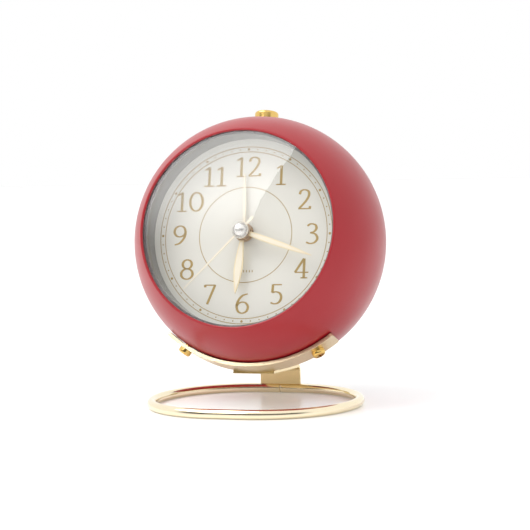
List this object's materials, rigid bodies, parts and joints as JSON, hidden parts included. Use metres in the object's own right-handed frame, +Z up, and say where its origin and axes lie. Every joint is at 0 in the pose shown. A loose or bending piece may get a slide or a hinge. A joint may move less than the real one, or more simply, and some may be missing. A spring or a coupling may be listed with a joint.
{
  "type": "alarm clock",
  "caption": "Ball-shaped quartz alarm clock on a wire ring stand, with a round glazed dial, a push button on top and setting knobs in a recessed rear cover.",
  "frame": {"origin": "on the table plane, under the middle of the whole clock", "axes": "+Z up from the table, the dial faces -Y leaning back, +X to the right of the dial"},
  "size_m": [0.1, 0.0882, 0.1161],
  "materials": {
    "gold": "polished pale gold",
    "gold_deep": "polished deeper gold",
    "red": "satin red paint",
    "glass": "clear",
    "seal": "matte black",
    "silver": "satin silver",
    "dial": "matte cream",
    "cream": "satin cream",
    "plastic_black": "fine matte grain",
    "plastic_grey": "moulded",
    "plastic_white": "moulded",
    "gear_plastic": "natural acetal",
    "brass_wheel": "machined",
    "steel": "bright",
    "copper": "enamelled wire",
    "board": "solder mask",
    "chip": "epoxy",
    "can": "bright can",
    "cell": "printed sleeve",
    "chrome": "mirror"
  },
  "bodies": {
    "clock": {"base_ring": "gold", "support_plate": "gold", "saddle_strap": "gold", "saddle_screws": "gold_deep", "saddle_nuts": "steel", "ball_shell": "red", "lens": "glass", "lens_gasket": "seal", "inner_bezel": "silver", "dial_plate": "dial", "mounting_ring": "plastic_grey", "movement_front_case": "plastic_white", "train_plate": "plastic_white", "movement_back_case": "plastic_black", "stator": "steel", "motor_coil": "copper", "battery_cell": "cell", "battery_plus_contact": "can", "battery_spring_contact": "can", "circuit_board": "board", "control_chip": "chip", "quartz_crystal": "can", "buzzer": "chip", "rear_cover": "plastic_black", "rear_cover_screws": "steel", "button_holder": "plastic_grey", "button_spring": "steel", "switch_board": "board", "button_switch": "chip"},
    "minute_train": {"cannon_pinion": "brass_wheel", "minute_hand": "gold_deep", "minute_hand_inlay": "cream"},
    "hour_train": {"hour_wheel": "gear_plastic", "hour_hand": "gold_deep", "hour_hand_inlay": "cream"},
    "minute_wheel_body": {"minute_wheel": "gear_plastic"},
    "time_knob": {"time_set_knob": "plastic_black"},
    "alarm_train": {"alarm_wheel": "gear_plastic", "alarm_hand": "gold_deep"},
    "alarm_knob": {"alarm_set_knob": "plastic_black"},
    "second_train": {"second_wheel": "brass_wheel", "second_hand": "gold_deep", "hand_cap": "chrome"},
    "transfer": {"transfer_wheel": "gear_plastic"},
    "motor_rotor": {"rotor": "can"},
    "alarm_slider": {"alarm_switch": "plastic_white"},
    "door": {"battery_door": "plastic_black"},
    "button": {"snooze_button": "gold_deep"}
  },
  "joints": [
    {"name": "minute_hand_turn", "type": "hinge", "parent": "clock", "child": "minute_train", "pos_m": [0, -0.00945, 0.06696], "axis": [0, 0.969, -0.247], "continuous": true},
    {"name": "hour_hand_turn", "type": "hinge", "parent": "clock", "child": "hour_train", "pos_m": [0, -0.00848, 0.06671], "axis": [0, 0.969, -0.247], "continuous": true},
    {"name": "minute_wheel_turn", "type": "hinge", "parent": "clock", "child": "minute_wheel_body", "pos_m": [-0.00988, -0.00692, 0.06471], "axis": [0, 0.969, -0.247], "continuous": true},
    {"name": "time_knob_turn", "type": "hinge", "parent": "clock", "child": "time_knob", "pos_m": [-0.0118, 0.00616, 0.0715], "axis": [0, 0.969, -0.247], "continuous": true},
    {"name": "alarm_hand_turn", "type": "hinge", "parent": "clock", "child": "alarm_train", "pos_m": [0, -0.00945, 0.06696], "axis": [0, 0.969, -0.247], "continuous": true},
    {"name": "alarm_knob_turn", "type": "hinge", "parent": "clock", "child": "alarm_knob", "pos_m": [0.0118, 0.00616, 0.0715], "axis": [0, 0.969, -0.247], "continuous": true},
    {"name": "second_hand_turn", "type": "hinge", "parent": "clock", "child": "second_train", "pos_m": [0, -0.0046, 0.06572], "axis": [0, 0.969, -0.247], "continuous": true},
    {"name": "transfer_wheel_turn", "type": "hinge", "parent": "clock", "child": "transfer", "pos_m": [0.0045, -0.00593, 0.06053], "axis": [0, 0.969, -0.247], "continuous": true},
    {"name": "rotor_turn", "type": "hinge", "parent": "clock", "child": "motor_rotor", "pos_m": [0.01014, -0.00546, 0.05829], "axis": [0, 0.969, -0.247], "continuous": true},
    {"name": "alarm_switch_slide", "type": "slide", "parent": "clock", "child": "alarm_slider", "axis": [0, 0.247, 0.969], "range_m": [0, 0.004]},
    {"name": "battery_door_turn", "type": "hinge", "parent": "clock", "child": "door", "pos_m": [0, 0.01385, 0.04255], "axis": [-1, 0, 0], "range_deg": [0, 100]},
    {"name": "button_press", "type": "slide", "parent": "clock", "child": "button", "axis": [0, -0.247, -0.969], "range_m": [0, 0.0015], "stiffness_N_per_m": 400, "springref_m": -0.002, "deforming": ["button_spring"]}
  ],
  "couplings": [
    {"joint": "hour_hand_turn", "follows": "minute_hand_turn", "ratio": 0.083333},
    {"joint": "minute_wheel_turn", "follows": "minute_hand_turn", "ratio": -0.33333},
    {"joint": "time_knob_turn", "follows": "minute_hand_turn", "ratio": 1},
    {"joint": "alarm_knob_turn", "follows": "alarm_hand_turn", "ratio": -5},
    {"joint": "transfer_wheel_turn", "follows": "second_hand_turn", "ratio": -6},
    {"joint": "rotor_turn", "follows": "second_hand_turn", "ratio": 30}
  ]
}
